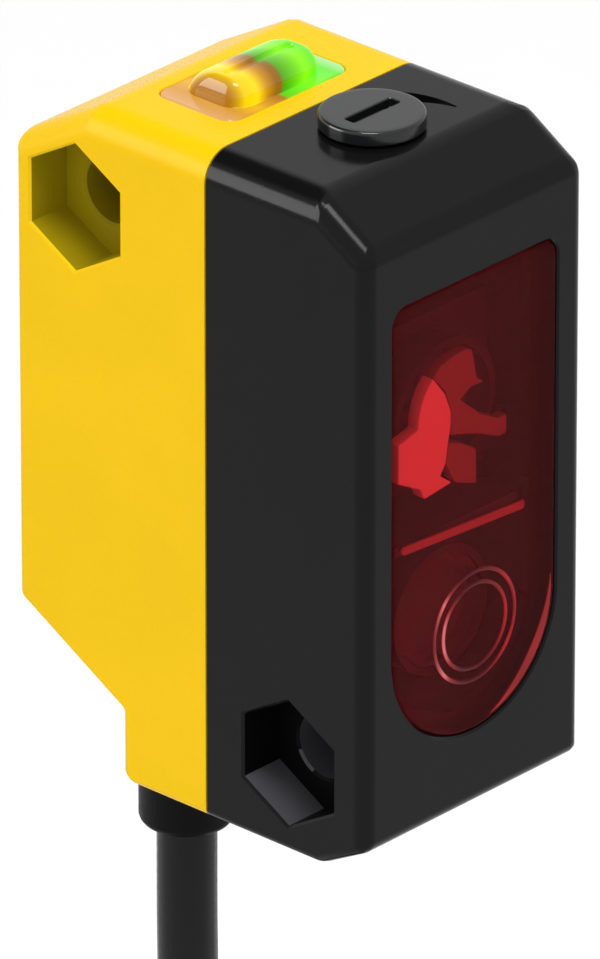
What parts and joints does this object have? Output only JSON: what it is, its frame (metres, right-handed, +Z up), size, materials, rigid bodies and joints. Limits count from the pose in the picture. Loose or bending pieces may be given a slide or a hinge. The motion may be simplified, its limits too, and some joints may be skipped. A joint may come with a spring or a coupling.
{
  "type": "photoelectric sensor",
  "caption": "Small two-part cubic light sensor with a red front window, slotted adjuster, lit indicator dome and a free cable leaving a collar underneath.",
  "frame": {"origin": "on the +X side face, half way between the two screw holes", "axes": "the window faces -Y, +Z is up towards the adjuster and the indicator, +X is out of the side without nut pockets"},
  "size_m": [0.015, 0.0537, 0.1243],
  "materials": {
    "black_plastic": "fine moulded black",
    "yellow_plastic": "satin moulded yellow",
    "red_clear": "polished dark red filter",
    "dome_clear": "translucent, lit from below",
    "knob_plastic": "satin black",
    "seal_rubber": "smooth",
    "steel": "drawn and stamped",
    "white_plastic": "moulded white",
    "clear_lens": "clear moulded lens",
    "brass": "turned",
    "grey_plastic": "moulded dark grey",
    "emitter_body": "clear resin",
    "board": "green solder mask",
    "chip_black": "moulded resin",
    "ceramic_tan": "sintered",
    "lamp_amber": "lit amber",
    "lamp_green": "lit green",
    "boot_rubber": "soft moulded black",
    "core_brown": "smooth insulation",
    "core_white": "smooth insulation",
    "core_black": "smooth insulation",
    "core_blue": "smooth insulation",
    "cable_jacket": "satin jacket",
    "tie_plastic": "nylon"
  },
  "bodies": {
    "housing": {"front_housing": "black_plastic", "rear_housing": "yellow_plastic", "front_window": "red_clear", "indicator_dome": "dome_clear", "optical_chassis": "grey_plastic", "guide_rod_left": "steel", "guide_rod_right": "steel", "emitter_lens": "clear_lens", "emitter_led": "emitter_body", "main_board": "board", "photodiode": "chip_black", "control_chip": "chip_black", "voltage_regulator": "chip_black", "output_transistor_npn": "chip_black", "output_transistor_pnp": "chip_black", "capacitor_a": "ceramic_tan", "capacitor_b": "ceramic_tan", "indicator_board": "board", "indicator_led_amber": "lamp_amber", "indicator_led_green": "lamp_green", "cable_boot": "boot_rubber", "crimp_ring": "steel", "wire_brown": "core_brown", "wire_white": "core_white", "wire_black": "core_black", "wire_blue": "core_blue", "cable_lead": "cable_jacket", "cable_coil": "cable_jacket", "cable_tail": "cable_jacket", "coil_tie": "tie_plastic", "lead_brown": "core_brown", "lead_white": "core_white", "lead_black": "core_black", "lead_blue": "core_blue"},
    "adjuster": {"adjuster_knob": "knob_plastic", "adjuster_seal": "seal_rubber", "retaining_clip": "steel"},
    "carriage": {"lens_carriage": "white_plastic", "receiver_lens": "clear_lens", "drive_nut": "brass"}
  },
  "joints": [
    {"name": "adjuster_turn", "type": "hinge", "parent": "housing", "child": "adjuster", "pos_m": [-0.0075, -0.00508, 0.01736], "axis": [0, 0, 1], "range_deg": [-900, 900]},
    {"name": "carriage_slide", "type": "slide", "parent": "housing", "child": "carriage", "axis": [0, 0, 1], "range_m": [-0.00087, 0.00087]}
  ],
  "couplings": [
    {"joint": "adjuster_turn", "follows": "carriage_slide", "rad_per_m": -17952}
  ]
}
